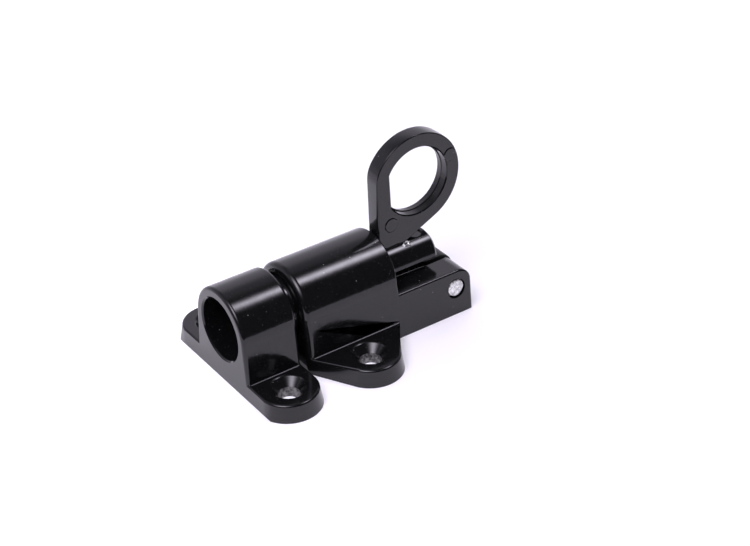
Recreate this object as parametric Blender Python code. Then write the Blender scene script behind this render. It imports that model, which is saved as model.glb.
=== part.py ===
"""A spring bolt with a pull ring, and the keeper that its nose shoots into.

Lengths are in metres. The bolt's axis runs along X: the keeper is at -X and the ring at +X.
Z = 0 is the surface that the housing and the keeper are screwed to, and X = 0, Y = 0 is
midway between the housing's two screw holes.
"""

import math

import bmesh
import bpy
from mathutils import Vector

MM = 0.001

# Fits.
REST_GAP = 0.3 * MM  # between two pieces that touch or rest on each other
RUNNING_GAP = 0.3 * MM  # all round a piece that slides or turns in another

# The arch section that the housing and the keeper share.
AXIS_HEIGHT = 13.5 * MM
BORE_RADIUS = 7.5 * MM
ARCH_WALL = 2.5 * MM  # from the bore out to the arch
BASE_SPREAD = 1.15 * MM  # how much further out the arch's sides stand at Z = 0
FLANGE_THICKNESS = 4.25 * MM
FLANGE_DRAFT = 0.75 * MM  # how much further out a flange's edge stands at Z = 0

# Keeper.
KEEPER_LENGTH = 14.0 * MM
KEEPER_HOLE_OFFSET = 0.2 * MM  # from the middle of the keeper, towards the housing
KEEPER_HOLE_FROM_ARCH = 6.1 * MM
KEEPER_EDGE_RADIUS = 0.9 * MM
KEEPER_TO_HOUSING = 2.2 * MM

# Housing.
HOUSING_LENGTH = 25.2 * MM  # of the arch alone
EAR_HOLE_FROM_ARCH = 6.5 * MM
EAR_RADIUS = 7.0 * MM
EAR_ROOT_SETBACK = 0.6 * MM  # from each end of the arch
HOUSING_FRONT_RADIUS = 1.5 * MM
HOUSING_REAR_RADIUS = 0.5 * MM
REAR_WALL = 4.0 * MM

# The two cheeks behind the arch, with a channel between them.
CHEEK_LENGTH = 20.8 * MM
CHEEKS_BELOW_AXIS = 2.2 * MM
CHEEK_CORNER_RADIUS = 3.8 * MM
CHANNEL_WIDTH_FRONT = 5.3 * MM
CHANNEL_WIDTH_REAR = 6.0 * MM  # where it opens into the spring stop's pocket
CHANNEL_SILL = 0.3 * MM  # the channel's floor above the bore's lowest line

# Countersunk screw holes.
SCREW_HOLE_RADIUS = 2.5 * MM
COUNTERSINK_RADIUS = 4.3 * MM
COUNTERSINK_DEPTH = 1.9 * MM

# Bolt.
NOSE_INSERTION = 5.2 * MM  # how far the nose stands in the keeper at rest
BOLT_STROKE = 7.9 * MM  # until the nose's shoulder meets the housing's rear wall
NOSE_CHAMFER = 1.0 * MM
TAIL_RADIUS = 5.4 * MM
TAIL_FLAT_ABOVE_AXIS = 0.3 * MM  # the tail is the half of a round bar above this flat
TAIL_PAST_HOUSING = 14.8 * MM
TAIL_CHAMFER = 0.5 * MM
PAD_RADIUS = 1.9 * MM
PAD_DEPTH = 0.4 * MM
PAD_FROM_TAIL_END = 3.1 * MM

# Pull ring, a flat plate that stands in a slot in the tail.
RING_THICKNESS = 4.0 * MM
RING_RADIUS = 12.05 * MM
RING_CENTRE_ABOVE_TAIL = 14.6 * MM
RING_CENTRE_SETBACK = 11.3 * MM  # from the ring's straight front edge
FINGER_HOLE_RADIUS = 8.5 * MM
FINGER_HOLE_FRONT_WALL = 3.8 * MM
RING_SLOPE = math.radians(25)  # of the straight lower edge that runs down to the foot
FOOT_LENGTH = 6.8 * MM
FOOT_DEPTH = 3.0 * MM  # below the top of the tail

# Spring.
SPRING_WIRE_RADIUS = 0.3 * MM
SPRING_COIL_RADIUS = 1.9 * MM  # to the middle of the wire
SPRING_TURNS = 15
SPIGOT_RADIUS = 1.1 * MM
SPIGOT_LENGTH = 3.0 * MM

# Cross pin, pressed through both cheeks and the spring stop between them.
PIN_RADIUS = 2.25 * MM
PIN_ABOVE_FLOOR = 0.45 * MM  # from the channel's floor to the pin's axis
PIN_FROM_REAR_END = 4.45 * MM
PIN_SUNK = 0.15 * MM

# Spring stop, a block in a pocket between the cheeks. The spring's rear end stands against it.
STOP_WIDTH = 6.0 * MM
STOP_ABOVE_CHEEKS = 0.45 * MM
STOP_BELOW_PIN = 3.6 * MM  # from the pin's axis to the block's underside
STOP_AHEAD_OF_PIN = 3.75 * MM  # from the pin's axis to the block's front face

# Facets.
CIRCLE_SEGMENTS = 64
EDGE_STEPS = 3
WIRE_SIDES = 6
TURN_STEPS = 14

# Places that follow from the sizes above.
ARCH_RADIUS = BORE_RADIUS + ARCH_WALL
EAR_HOLE_REACH = ARCH_RADIUS + EAR_HOLE_FROM_ARCH
KEEPER_HOLE_REACH = ARCH_RADIUS + KEEPER_HOLE_FROM_ARCH
HOUSING_FRONT = -HOUSING_LENGTH / 2
HOUSING_REAR = HOUSING_LENGTH / 2
CHEEK_REAR = HOUSING_REAR + CHEEK_LENGTH
CHEEK_HEIGHT = AXIS_HEIGHT - CHEEKS_BELOW_AXIS
KEEPER_REAR = HOUSING_FRONT - KEEPER_TO_HOUSING
KEEPER_FRONT = KEEPER_REAR - KEEPER_LENGTH
KEEPER_MIDDLE = (KEEPER_FRONT + KEEPER_REAR) / 2
KEEPER_HOLE_X = KEEPER_MIDDLE + KEEPER_HOLE_OFFSET
WALL_FRONT = HOUSING_REAR - REAR_WALL
NOSE_RADIUS = BORE_RADIUS - RUNNING_GAP
NOSE_FRONT = KEEPER_REAR - NOSE_INSERTION
NOSE_REAR = WALL_FRONT - REST_GAP - BOLT_STROKE
TAIL_REAR = HOUSING_REAR + TAIL_PAST_HOUSING
TAIL_FLAT = AXIS_HEIGHT + TAIL_FLAT_ABOVE_AXIS
TAIL_TOP = AXIS_HEIGHT + TAIL_RADIUS
CHANNEL_FLOOR = AXIS_HEIGHT - BORE_RADIUS + CHANNEL_SILL
RING_FRONT = HOUSING_REAR + REST_GAP
RING_CENTRE_X = RING_FRONT + RING_CENTRE_SETBACK
RING_CENTRE_Z = TAIL_TOP + RING_CENTRE_ABOVE_TAIL
FOOT_REAR = RING_FRONT + FOOT_LENGTH
FOOT_BOTTOM = TAIL_TOP - FOOT_DEPTH
PIN_X = CHEEK_REAR - PIN_FROM_REAR_END
PIN_HEIGHT = CHANNEL_FLOOR + PIN_ABOVE_FLOOR
SPRING_HEIGHT = CHANNEL_FLOOR + REST_GAP + SPRING_COIL_RADIUS + SPRING_WIRE_RADIUS
SPRING_FRONT = NOSE_REAR + REST_GAP
STOP_FRONT = PIN_X - STOP_AHEAD_OF_PIN
STOP_TOP = CHEEK_HEIGHT + STOP_ABOVE_CHEEKS
STOP_BOTTOM = PIN_HEIGHT - STOP_BELOW_PIN
SPRING_REAR = STOP_FRONT - REST_GAP
WELD = 0.001 * MM  # points this near each other are one
PAST = 1.0 * MM  # how far a cutter runs past the face it breaks through


def arc(centre, radius, start, end, segments):
    """Points on an arc, both ends included, as (u, v) pairs. Angles are in radians."""
    steps = [start + (end - start) * step / segments for step in range(segments + 1)]
    return [(centre[0] + radius * math.cos(a), centre[1] + radius * math.sin(a)) for a in steps]


def circle(centre, radius):
    return arc(centre, radius, 0, 2 * math.pi, CIRCLE_SEGMENTS)[:-1]


def across_x(outline, x):
    return [Vector((x, y, z)) for y, z in outline]


def across_y(outline, y):
    return [Vector((x, y, z)) for x, z in outline]


def across_z(outline, z):
    return [Vector((x, y, z)) for x, y in outline]


def loft(name, sections, material=None):
    """A closed solid through sections that all have the same number of points."""
    mesh = bpy.data.meshes.new(name)
    shape = bmesh.new()
    rings = [[shape.verts.new(point) for point in section] for section in sections]
    for ring, following in zip(rings, rings[1:]):
        for index in range(len(ring)):
            after = (index + 1) % len(ring)
            shape.faces.new((ring[index], ring[after], following[after], following[index]))
    shape.faces.new(rings[0])
    shape.faces.new(rings[-1])
    bmesh.ops.remove_doubles(shape, verts=shape.verts, dist=WELD)
    bmesh.ops.recalc_face_normals(shape, faces=shape.faces)
    shape.to_mesh(mesh)
    shape.free()
    thing = bpy.data.objects.new(name, mesh)
    bpy.context.scene.collection.objects.link(thing)
    if material:
        mesh.materials.append(material)
    return thing


def helper(thing):
    """Marks a solid that only shapes another one."""
    thing.hide_render = True
    thing.display_type = "WIRE"
    return thing


def combine(thing, tool, operation):
    modifier = thing.modifiers.new(f"{operation.lower()} {tool.name}", "BOOLEAN")
    modifier.operation = operation
    modifier.solver = "EXACT"
    modifier.object = helper(tool)


def cut(thing, tool):
    combine(thing, tool, "DIFFERENCE")


def join(thing, tool):
    combine(thing, tool, "UNION")


def finish(name, colour, roughness, metallic):
    material = bpy.data.materials.new(name)
    material.use_nodes = True
    shader = material.node_tree.nodes["Principled BSDF"]
    shader.inputs["Base Color"].default_value = (*colour, 1)
    shader.inputs["Roughness"].default_value = roughness
    shader.inputs["Metallic"].default_value = metallic
    return material


def move_origin(thing, place):
    """Puts the object's origin at a place and leaves its shape where it is."""
    for vertex in thing.data.vertices:
        vertex.co -= Vector(place)
    thing.location = place


def arch_half_width(z):
    """Half the arch's width at a height below the bolt's axis."""
    return ARCH_RADIUS + BASE_SPREAD * (AXIS_HEIGHT - z) / AXIS_HEIGHT


def arch_outline(inset, side_inset):
    """The arch's (y, z) outline. Above the cheeks' height it is drawn in by inset."""
    top = arc((0, AXIS_HEIGHT), ARCH_RADIUS - inset, 0, math.pi, CIRCLE_SEGMENTS // 2)
    foot = (arch_half_width(0) - side_inset, 0)
    shoulder = (arch_half_width(CHEEK_HEIGHT) - side_inset, CHEEK_HEIGHT)
    return [foot, shoulder, *top, (-shoulder[0], shoulder[1]), (-foot[0], 0)]


def rounded_end(face, inward, radius, whole):
    """Sections over an arch's rounded end edge, from its end face inwards along X."""
    sections = []
    for step in range(EDGE_STEPS + 1):
        angle = math.pi / 2 * step / EDGE_STEPS
        x = face + inward * radius * (1 - math.cos(angle))
        inset = radius * (1 - math.sin(angle))
        sections.append(across_x(arch_outline(inset, inset if whole else 0), x))
    return sections


def screw_hole(name, x, y):
    """A countersunk hole's cutter, down through a flange."""
    slope = (COUNTERSINK_RADIUS - SCREW_HOLE_RADIUS) / COUNTERSINK_DEPTH
    steps = [
        (SCREW_HOLE_RADIUS, -PAST),
        (SCREW_HOLE_RADIUS, FLANGE_THICKNESS - COUNTERSINK_DEPTH),
        (COUNTERSINK_RADIUS + slope * PAST, FLANGE_THICKNESS + PAST),
    ]
    return loft(name, [across_z(circle((x, y), radius), z) for radius, z in steps])


def cylinder_x(name, height, radius, front, rear):
    outline = circle((0, height), radius)
    return loft(name, [across_x(outline, front), across_x(outline, rear)])


def keeper_flange_outline(grow):
    """The keeper's base plate as (x, y) points: two rounded ears and a straight front."""
    radius = KEEPER_LENGTH / 2 + grow
    half_turn = CIRCLE_SEGMENTS // 2
    left = arc((KEEPER_MIDDLE, KEEPER_HOLE_REACH), radius, 0, math.pi, half_turn)
    right = arc((KEEPER_MIDDLE, -KEEPER_HOLE_REACH), radius, math.pi, 2 * math.pi, half_turn)
    return [(max(x, KEEPER_FRONT), y) for x, y in left + right]


def keeper(coating):
    front = rounded_end(KEEPER_FRONT, 1, KEEPER_EDGE_RADIUS, True)
    rear = rounded_end(KEEPER_REAR, -1, KEEPER_EDGE_RADIUS, True)
    block = loft("keeper", front + rear[::-1], coating)
    flange = loft(
        "keeper_flange",
        [
            across_z(keeper_flange_outline(FLANGE_DRAFT), 0),
            across_z(keeper_flange_outline(0), FLANGE_THICKNESS),
        ],
    )
    join(block, flange)
    bore = (KEEPER_FRONT - PAST, KEEPER_REAR + PAST)
    cut(block, cylinder_x("keeper_bore", AXIS_HEIGHT, BORE_RADIUS, *bore))
    for side, name in ((1, "left"), (-1, "right")):
        cut(block, screw_hole(f"keeper_hole_{name}", KEEPER_HOLE_X, side * KEEPER_HOLE_REACH))
    return block


def ear_outline(side, grow):
    """One ear as (x, y) points: straight from the arch's corners, round about its hole."""
    radius = EAR_RADIUS + grow
    root = arch_half_width(FLANGE_THICKNESS)
    rise = EAR_HOLE_REACH - root
    run = HOUSING_LENGTH / 2 - EAR_ROOT_SETBACK
    lean = math.atan2(rise, run) + math.asin(radius / math.hypot(rise, run))
    turn = arc((0, EAR_HOLE_REACH), radius, math.pi / 2 - lean, math.pi / 2 + lean, CIRCLE_SEGMENTS // 2)
    inner = ARCH_RADIUS / 2
    outline = [(run, root), *turn, (-run, root), (-run, inner), (run, inner)]
    return [(x, side * y) for x, y in outline]


def cheek_section(x):
    """A section across the block behind the arch, before the channel parts it in two."""
    into_corner = max(0, x - (CHEEK_REAR - CHEEK_CORNER_RADIUS))
    climb = math.sqrt(max(0, CHEEK_CORNER_RADIUS**2 - into_corner**2))
    top = CHEEK_HEIGHT - CHEEK_CORNER_RADIUS + climb
    outline = []
    for y, z in arch_outline(HOUSING_REAR_RADIUS, 0):
        shoulder = math.copysign(arch_half_width(top), y)
        outline.append((shoulder if z == CHEEK_HEIGHT else y, min(z, top)))
    return across_x(outline, x)


def housing_block(coating):
    """The arch and the block behind it, as one loft along X."""
    sections = rounded_end(HOUSING_FRONT, 1, HOUSING_FRONT_RADIUS, True)
    sections += rounded_end(HOUSING_REAR, -1, HOUSING_REAR_RADIUS, False)[::-1]
    sections.append(cheek_section(HOUSING_REAR))
    for step in range(2 * EDGE_STEPS + 1):
        angle = math.pi / 2 * step / (2 * EDGE_STEPS)
        sections.append(cheek_section(CHEEK_REAR - CHEEK_CORNER_RADIUS * (1 - math.sin(angle))))
    return loft("housing", sections, coating)


def channel(name):
    """The cutter for the channel, from the housing's bore back into the stop's pocket."""
    widths = (
        (WALL_FRONT - PAST, CHANNEL_WIDTH_FRONT),
        (HOUSING_REAR, CHANNEL_WIDTH_FRONT),
        (STOP_FRONT, CHANNEL_WIDTH_REAR),
    )
    sections = []
    for x, width in widths:
        low, high = CHANNEL_FLOOR, TAIL_FLAT
        outline = [(-width / 2, low), (width / 2, low), (width / 2, high), (-width / 2, high)]
        sections.append(across_x(outline, x))
    return loft(name, sections)


def stop_pocket(name):
    """The cutter for the spring stop's room between the cheeks, open above and behind."""
    half = STOP_WIDTH / 2 + REST_GAP
    low, high = STOP_BOTTOM - REST_GAP, TAIL_FLAT + PAST
    outline = [(-half, low), (half, low), (half, high), (-half, high)]
    span = (STOP_FRONT - REST_GAP, CHEEK_REAR + PAST)
    return loft(name, [across_x(outline, x) for x in span])


def half_round(radius, flat):
    """The (y, z) outline of a round bar about the bolt's axis, cut off below a flat."""
    start = math.asin((flat - AXIS_HEIGHT) / radius)
    return arc((0, AXIS_HEIGHT), radius, start, math.pi - start, CIRCLE_SEGMENTS // 2)


def housing(coating):
    block = housing_block(coating)
    for side, name in ((1, "left"), (-1, "right")):
        top = across_z(ear_outline(side, 0), FLANGE_THICKNESS)
        foot = across_z(ear_outline(side, FLANGE_DRAFT), 0)
        join(block, loft(f"ear_{name}", [foot, top]))
    cut(block, cylinder_x("housing_bore", AXIS_HEIGHT, BORE_RADIUS, HOUSING_FRONT - PAST, WALL_FRONT))
    window = half_round(TAIL_RADIUS + RUNNING_GAP, TAIL_FLAT - RUNNING_GAP)
    span = (WALL_FRONT - PAST, HOUSING_REAR + PAST)
    cut(block, loft("tail_window", [across_x(window, x) for x in span]))
    cut(block, channel("channel"))
    cut(block, stop_pocket("stop_pocket"))
    for side, name in ((1, "left"), (-1, "right")):
        cut(block, screw_hole(f"ear_hole_{name}", 0, side * EAR_HOLE_REACH))
    reach = arch_half_width(0) + PAST
    hole = circle((PIN_X, PIN_HEIGHT), PIN_RADIUS + REST_GAP)
    cut(block, loft("pin_hole", [across_y(hole, -reach), across_y(hole, reach)]))
    return block


def ring_slope_height(x):
    """The height of the ring's sloping lower edge, which leaves the round edge tangentially."""
    leave_x = RING_CENTRE_X + RING_RADIUS * math.sin(RING_SLOPE)
    leave_z = RING_CENTRE_Z - RING_RADIUS * math.cos(RING_SLOPE)
    return leave_z - (leave_x - x) * math.tan(RING_SLOPE)


def foot_slot_outline():
    """The slot's (x, z) outline in the tail: the ring's foot with a gap all round."""
    front, rear = RING_FRONT - REST_GAP, FOOT_REAR + REST_GAP
    low, high = FOOT_BOTTOM - REST_GAP, TAIL_TOP + PAST
    bend = ring_slope_height(rear) - REST_GAP / math.cos(RING_SLOPE)
    end = rear + (high - bend) / math.tan(RING_SLOPE)
    return [(front, low), (front, high), (end, high), (rear, bend), (rear, low)]


def bolt(coating):
    steps = [
        (NOSE_FRONT, NOSE_RADIUS - NOSE_CHAMFER),
        (NOSE_FRONT + NOSE_CHAMFER, NOSE_RADIUS),
        (NOSE_REAR, NOSE_RADIUS),
    ]
    nose = loft("bolt", [across_x(circle((0, AXIS_HEIGHT), radius), x) for x, radius in steps], coating)
    full = half_round(TAIL_RADIUS, TAIL_FLAT)
    drawn_in = half_round(TAIL_RADIUS - TAIL_CHAMFER, TAIL_FLAT)
    tail = [
        across_x(full, NOSE_REAR - PAST),
        across_x(full, TAIL_REAR - TAIL_CHAMFER),
        across_x(drawn_in, TAIL_REAR),
    ]
    join(nose, loft("tail", tail))
    spigot = (NOSE_REAR - PAST, NOSE_REAR + SPIGOT_LENGTH)
    join(nose, cylinder_x("spigot", SPRING_HEIGHT, SPIGOT_RADIUS, *spigot))
    half = RING_THICKNESS / 2 + REST_GAP
    cut(nose, loft("foot_slot", [across_y(foot_slot_outline(), y) for y in (-half, half)]))
    pad = circle((TAIL_REAR - PAD_FROM_TAIL_END, 0), PAD_RADIUS)
    cut(nose, loft("pad_cutter", [across_z(pad, z) for z in (TAIL_TOP - PAD_DEPTH, TAIL_TOP + PAST)]))
    move_origin(nose, (0, 0, AXIS_HEIGHT))
    return nose


def ring_outline():
    """The ring's (x, z) outline: straight front, round top, sloping edge down to the foot."""
    lean = math.acos(RING_CENTRE_SETBACK / RING_RADIUS)
    centre = (RING_CENTRE_X, RING_CENTRE_Z)
    leave = -math.pi / 2 + RING_SLOPE
    turn = arc(centre, RING_RADIUS, math.pi - lean, leave, CIRCLE_SEGMENTS)
    bend = (FOOT_REAR, ring_slope_height(FOOT_REAR))
    return [(RING_FRONT, FOOT_BOTTOM), *turn, bend, (FOOT_REAR, FOOT_BOTTOM)]


def finger_hole_outline():
    """The hole's (x, z) outline: a circle with a straight front side."""
    lean = math.acos((RING_CENTRE_SETBACK - FINGER_HOLE_FRONT_WALL) / FINGER_HOLE_RADIUS)
    centre = (RING_CENTRE_X, RING_CENTRE_Z)
    return arc(centre, FINGER_HOLE_RADIUS, math.pi - lean, lean - math.pi, CIRCLE_SEGMENTS)


def pull_ring(coating):
    half = RING_THICKNESS / 2
    plate = loft("pull_ring", [across_y(ring_outline(), y) for y in (-half, half)], coating)
    reach = half + PAST
    cut(plate, loft("finger_hole", [across_y(finger_hole_outline(), y) for y in (-reach, reach)]))
    move_origin(plate, (0, 0, AXIS_HEIGHT))
    return plate


def spring(steel):
    """A compression spring along X between the bolt's shoulder and the spring stop."""
    low = SPRING_FRONT + SPRING_WIRE_RADIUS
    high = SPRING_REAR - SPRING_WIRE_RADIUS
    sections = []
    for step in range(SPRING_TURNS * TURN_STEPS + 1):
        angle = 2 * math.pi * step / TURN_STEPS
        outward = Vector((0, math.cos(angle), math.sin(angle)))
        middle = Vector((low + (high - low) * step / (SPRING_TURNS * TURN_STEPS), 0, SPRING_HEIGHT))
        middle += outward * SPRING_COIL_RADIUS
        section = []
        for side in range(WIRE_SIDES):
            around = 2 * math.pi * side / WIRE_SIDES
            offset = outward * math.cos(around) + Vector((1, 0, 0)) * math.sin(around)
            section.append(middle + offset * SPRING_WIRE_RADIUS)
        sections.append(section)
    return loft("spring", sections, steel)


def cross_pin(aluminium):
    reach = arch_half_width(PIN_HEIGHT) - PIN_SUNK
    outline = circle((PIN_X, PIN_HEIGHT), PIN_RADIUS)
    return loft("cross_pin", [across_y(outline, y) for y in (-reach, reach)], aluminium)


def spring_stop(coating):
    """The block that the spring stands against, its rear corner rounded like the cheeks'."""
    corner = (CHEEK_REAR - CHEEK_CORNER_RADIUS, STOP_TOP - CHEEK_CORNER_RADIUS)
    turn = arc(corner, CHEEK_CORNER_RADIUS, 0, math.pi / 2, 4 * EDGE_STEPS)
    outline = [(STOP_FRONT, STOP_BOTTOM), (CHEEK_REAR, STOP_BOTTOM), *turn, (STOP_FRONT, STOP_TOP)]
    half = STOP_WIDTH / 2
    block = loft("spring_stop", [across_y(outline, y) for y in (-half, half)], coating)
    hole = circle((PIN_X, PIN_HEIGHT), PIN_RADIUS + REST_GAP)
    reach = half + PAST
    cut(block, loft("stop_hole", [across_y(hole, y) for y in (-reach, reach)]))
    return block


def shade(thing):
    """Smooth round surfaces that keep their sharp edges."""
    thing.data.shade_smooth()
    thing.data.set_sharp_from_angle(angle=math.radians(30))


def main():
    for thing in list(bpy.data.objects):
        bpy.data.objects.remove(thing)
    coating = finish("black_coating", (0.018, 0.018, 0.020), 0.28, 0.0)
    aluminium = finish("bare_aluminium", (0.80, 0.80, 0.80), 0.35, 1.0)
    steel = finish("spring_steel", (0.45, 0.45, 0.46), 0.30, 1.0)
    pieces = [
        housing(coating),
        keeper(coating),
        bolt(coating),
        pull_ring(coating),
        spring(steel),
        spring_stop(coating),
        cross_pin(aluminium),
    ]
    for piece in pieces:
        shade(piece)


main()
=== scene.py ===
# %% [markdown]
# # A die-cast ring bolt and its keeper
# Two black castings stand on a white table. The right one is the housing, and a round bolt slides in
# it. The ring stands in a slot in the bolt's tail, and a finger in the ring draws the bolt back
# against a spring. The left casting is the keeper, which the bolt's nose shoots into. The mechanical
# model already holds every piece in its true place, so this lesson loads it as a fixed frame and
# makes a finer piece over each plain one.

# %% Load the frame
import math

import bmesh
import bpy
from mathutils import Matrix, Vector, noise


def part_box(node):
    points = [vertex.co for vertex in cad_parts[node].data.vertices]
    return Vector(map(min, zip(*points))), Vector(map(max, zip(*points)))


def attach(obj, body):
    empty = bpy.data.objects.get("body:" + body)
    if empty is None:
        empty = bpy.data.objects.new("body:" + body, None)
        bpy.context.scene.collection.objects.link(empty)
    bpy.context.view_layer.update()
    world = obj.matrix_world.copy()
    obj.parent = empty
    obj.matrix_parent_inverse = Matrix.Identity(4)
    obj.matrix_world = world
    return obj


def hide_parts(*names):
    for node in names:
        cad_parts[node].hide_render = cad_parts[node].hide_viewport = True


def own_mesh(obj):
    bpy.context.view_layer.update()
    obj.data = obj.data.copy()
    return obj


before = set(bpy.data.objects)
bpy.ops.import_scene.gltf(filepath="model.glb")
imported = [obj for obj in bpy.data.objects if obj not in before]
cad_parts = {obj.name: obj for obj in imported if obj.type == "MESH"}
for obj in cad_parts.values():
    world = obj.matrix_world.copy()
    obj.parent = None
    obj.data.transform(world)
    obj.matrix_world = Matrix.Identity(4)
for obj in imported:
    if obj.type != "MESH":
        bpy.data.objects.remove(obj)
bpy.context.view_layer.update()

MM = 0.001

# %% [markdown]
# ## Sizes
# The sizes repeat those of the mechanical model, in metres, because the fine pieces have to lie
# where the plain ones do. What can be read from the frame is read from it: the ends of each piece
# come from its box. The rest are named here once, and everything below is worked out from them.

# %% Sizes read from the frame, and those it can't give
housing_low, housing_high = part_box("housing")
keeper_low, keeper_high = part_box("keeper")
bolt_low, bolt_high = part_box("bolt")
ring_low, ring_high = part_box("pull_ring")
pin_low, pin_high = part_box("cross_pin")
spring_low, spring_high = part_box("spring")
stop_low, stop_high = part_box("spring_stop")

ARCH_RADIUS = 10.0 * MM
AXIS = keeper_high[2] - ARCH_RADIUS
BASE_SPREAD = 1.15 * MM
BORE_RADIUS = 7.5 * MM
FLANGE_TOP = 4.25 * MM
FLANGE_DRAFT = 0.75 * MM
HOLE_RADIUS = 2.5 * MM
SINK_RADIUS = 4.3 * MM
SINK_DEPTH = 1.9 * MM
HOUSING_FRONT = housing_low[0]
CHEEK_REAR = housing_high[0]
HOUSING_REAR = -HOUSING_FRONT
CHEEK_TOP = AXIS - 2.2 * MM
CHEEK_CORNER = 3.8 * MM
REAR_WALL = 4.0 * MM
STROKE = 7.9 * MM
GAP = 0.3 * MM
EAR_RADIUS = 7.0 * MM
EAR_REACH = 16.5 * MM
EAR_HOLES = [(0, EAR_REACH), (0, -EAR_REACH)]
TAIL_RADIUS = 5.4 * MM
TAIL_FLAT = AXIS + 0.3 * MM
TAIL_TOP = AXIS + TAIL_RADIUS
TAIL_REAR = bolt_high[0]
RING_FRONT = ring_low[0]
RING_RADIUS = 12.05 * MM
RING_CENTRE = (RING_FRONT + 11.3 * MM, TAIL_TOP + 14.6 * MM)
RING_HALF = ring_high[1]
FINGER_RADIUS = 8.5 * MM
PIN_RADIUS = (pin_high[0] - pin_low[0]) / 2
PIN_CENTRE = ((pin_low[0] + pin_high[0]) / 2, (pin_low[2] + pin_high[2]) / 2)
print(f"axis {AXIS * 1000:.2f} mm up, tail ends at {TAIL_REAR * 1000:.2f} mm")

# %% [markdown]
# ## A small workshop
# Every casting here is made in one way: outlines are drawn as lists of points, a skin is stretched
# over a row of them, and such solids are then joined to or cut from each other with the exact
# Boolean. A rounded edge is part of the row of outlines wherever that is possible, because a
# rounding drawn that way is even all along. Edges that only appear where two solids meet are picked
# out by their angle and their place and bevelled afterwards.


# %% Outlines
def arc(centre, radius, start, end, steps):
    """Points on an arc, both ends included. Angles are in degrees."""
    points = []
    for step in range(steps + 1):
        angle = math.radians(start + (end - start) * step / steps)
        points.append((centre[0] + radius * math.cos(angle), centre[1] + radius * math.sin(angle)))
    return points


def quarter(steps):
    """How far a round edge has come, and how far it has to go, at steps over a quarter turn."""
    angles = [math.pi / 2 * step / steps for step in range(steps + 1)]
    return [(1 - math.cos(angle), 1 - math.sin(angle)) for angle in angles]


def circle(centre, radius, steps=96):
    return arc(centre, radius, 0, 360, steps)[:-1]


def grown(outline, distance):
    """The same outline moved outwards by a distance, or inwards by a negative one."""
    count = len(outline)
    area = sum(
        outline[i][0] * outline[(i + 1) % count][1] - outline[(i + 1) % count][0] * outline[i][1]
        for i in range(count)
    )
    turn = 1 if area > 0 else -1
    moved = []
    for i in range(count):
        before, here, after = (Vector(outline[(i + k) % count]) for k in (-1, 0, 1))
        one = (here - before).normalized()
        two = (after - here).normalized()
        normal_one = Vector((one.y, -one.x)) * turn
        normal_two = Vector((two.y, -two.x)) * turn
        middle = (normal_one + normal_two).normalized()
        reach = distance / max(0.35, middle.dot(normal_one))
        moved.append(tuple(here + middle * reach))
    return moved


def across_x(outline, x):
    return [Vector((x, y, z)) for y, z in outline]


def across_y(outline, y):
    return [Vector((x, y, z)) for x, z in outline]


def across_z(outline, z):
    return [Vector((x, y, z)) for x, y in outline]


# %% Solids
def new_object(name, data):
    thing = bpy.data.objects.new(name, data)
    bpy.context.scene.collection.objects.link(thing)
    return thing


def loft(name, sections):
    """A closed solid through a row of sections that have the same number of points."""
    shape = bmesh.new()
    rings = [[shape.verts.new(point) for point in section] for section in sections]
    for ring, following in zip(rings, rings[1:]):
        for i in range(len(ring)):
            j = (i + 1) % len(ring)
            shape.faces.new((ring[i], ring[j], following[j], following[i]))
    shape.faces.new(rings[0])
    shape.faces.new(rings[-1])
    bmesh.ops.remove_doubles(shape, verts=shape.verts, dist=1e-7)
    bmesh.ops.recalc_face_normals(shape, faces=shape.faces)
    mesh = bpy.data.meshes.new(name)
    shape.to_mesh(mesh)
    shape.free()
    piece = bpy.data.objects.new(name, mesh)
    bpy.context.scene.collection.objects.link(piece)
    return piece


def settle(piece):
    """Turns what the modifiers show into the piece's own mesh."""
    graph = bpy.context.evaluated_depsgraph_get()
    mesh = bpy.data.meshes.new_from_object(piece.evaluated_get(graph))
    piece.modifiers.clear()
    worn = piece.data
    piece.data = mesh
    bpy.data.meshes.remove(worn)
    mesh.name = piece.name


def combine(piece, tool, operation):
    step = piece.modifiers.new("combine", "BOOLEAN")
    step.operation = operation
    step.solver = "EXACT"
    step.object = tool
    settle(piece)
    shape = tool.data
    bpy.data.objects.remove(tool)
    bpy.data.meshes.remove(shape)


def cut(piece, tool):
    combine(piece, tool, "DIFFERENCE")


def join(piece, tool):
    combine(piece, tool, "UNION")


# %% Rounded edges
SHARP = math.radians(28)  # the least turn between two faces that counts as an edge


def soften(piece, radius, where):
    """Rounds the sharp edges whose middle passes the test where(x, y, z, hollow), given in mm."""
    shape = bmesh.new()
    shape.from_mesh(piece.data)
    bmesh.ops.remove_doubles(shape, verts=shape.verts, dist=2e-6)
    chosen = []
    for edge in shape.edges:
        if len(edge.link_faces) != 2 or edge.calc_length() < 1e-7:
            continue
        angle = edge.calc_face_angle_signed(0)
        if abs(angle) < SHARP:
            continue
        middle = (edge.verts[0].co + edge.verts[1].co) / 2 / MM
        if where(middle.x, middle.y, middle.z, angle < 0):
            chosen.append(edge)
    bmesh.ops.bevel(
        shape,
        geom=chosen,
        offset=radius,
        offset_type="OFFSET",
        segments=3,
        profile=0.5,
        affect="EDGES",
        clamp_overlap=False,
        miter_outer="ARC",
    )
    bmesh.ops.remove_doubles(shape, verts=shape.verts, dist=1e-6)
    bmesh.ops.dissolve_degenerate(shape, edges=shape.edges, dist=1e-6)
    shape.to_mesh(piece.data)
    shape.free()
    print(f"{piece.name}: {len(chosen)} edges rounded to {radius * 1000:.2f} mm")


def smooth(piece, crease=32):
    """Smooth shading that leans on the large faces, so that a flat face stays flat up to its edge."""
    piece.data.shade_smooth()
    piece.data.set_sharp_from_angle(angle=math.radians(crease))
    step = piece.modifiers.new("lean", "WEIGHTED_NORMAL")
    step.keep_sharp = True
    step.weight = 80
    settle(piece)


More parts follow.
